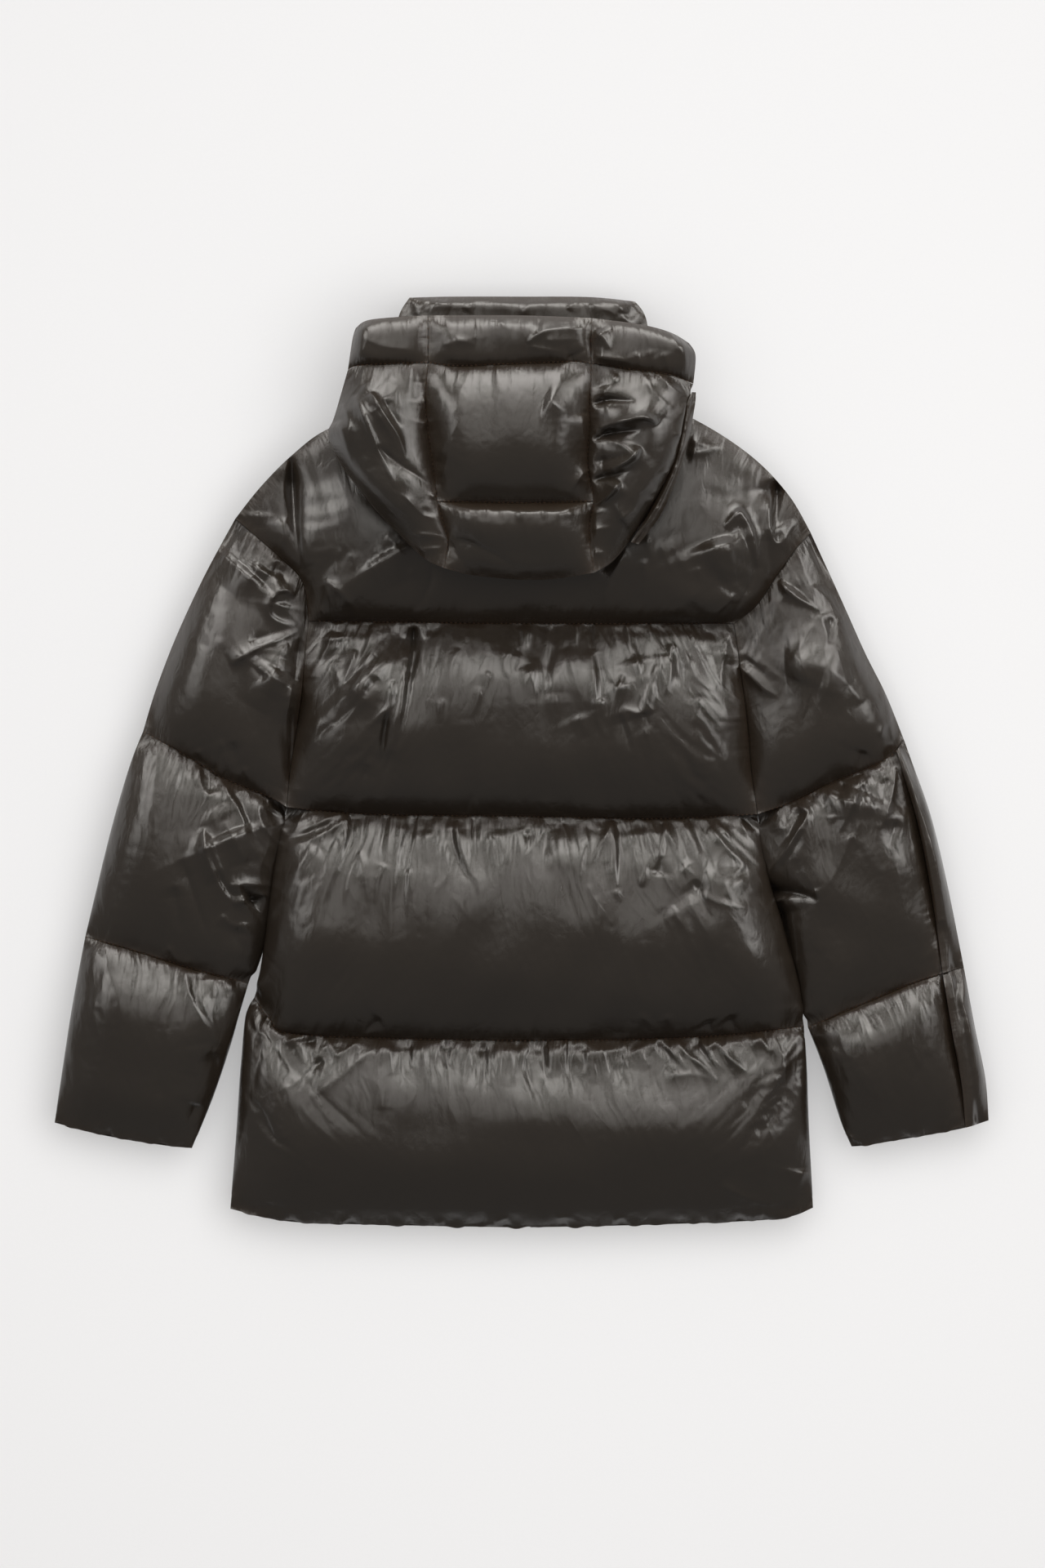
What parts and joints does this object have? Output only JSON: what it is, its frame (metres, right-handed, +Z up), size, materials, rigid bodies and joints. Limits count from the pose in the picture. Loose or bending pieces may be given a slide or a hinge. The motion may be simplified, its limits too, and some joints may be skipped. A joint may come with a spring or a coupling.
{
  "type": "puffer jacket",
  "caption": "Hip-length padded jacket with a stand collar and a hood folded over the back, laid face down and flat.",
  "frame": {"origin": "centre of the laid-out jacket's footprint, on the surface that it lies on", "axes": "+Z up from the surface, +Y from the hem to the collar, +X across the back towards the wearer's right"},
  "size_m": [0.8234, 0.8203, 0.1403],
  "materials": {
    "shell": "dark brown, smooth and glossy woven nylon with down padding",
    "hood": "the same glossy nylon",
    "zip": "matte woven zip tape"
  },
  "bodies": {
    "root": {"back_yoke": "shell", "back_chest": "shell", "back_waist": "shell", "back_hem": "shell", "left_front_yoke": "shell", "left_front_chest": "shell", "left_front_waist": "shell", "left_front_hem": "shell", "right_front_yoke": "shell", "right_front_chest": "shell", "right_front_waist": "shell", "right_front_hem": "shell", "left_sleeve_back_upper": "shell", "left_sleeve_front_upper": "shell", "left_sleeve_back_middle": "shell", "left_sleeve_front_middle": "shell", "left_sleeve_back_cuff": "shell", "left_sleeve_front_cuff": "shell", "right_sleeve_back_upper": "shell", "right_sleeve_front_upper": "shell", "right_sleeve_back_middle": "shell", "right_sleeve_front_middle": "shell", "right_sleeve_back_cuff": "shell", "right_sleeve_front_cuff": "shell", "collar_back": "hood", "collar_front_left": "hood", "collar_front_right": "hood", "front_zip": "zip", "hood_brim_left": "hood", "hood_brim_centre": "hood", "hood_brim_right": "hood", "hood_centre_upper": "hood", "hood_centre_lower": "hood", "hood_side_left": "hood", "hood_side_right": "hood", "hood_brim_turn": "hood", "hood_under": "hood"}
  },
  "joints": []
}
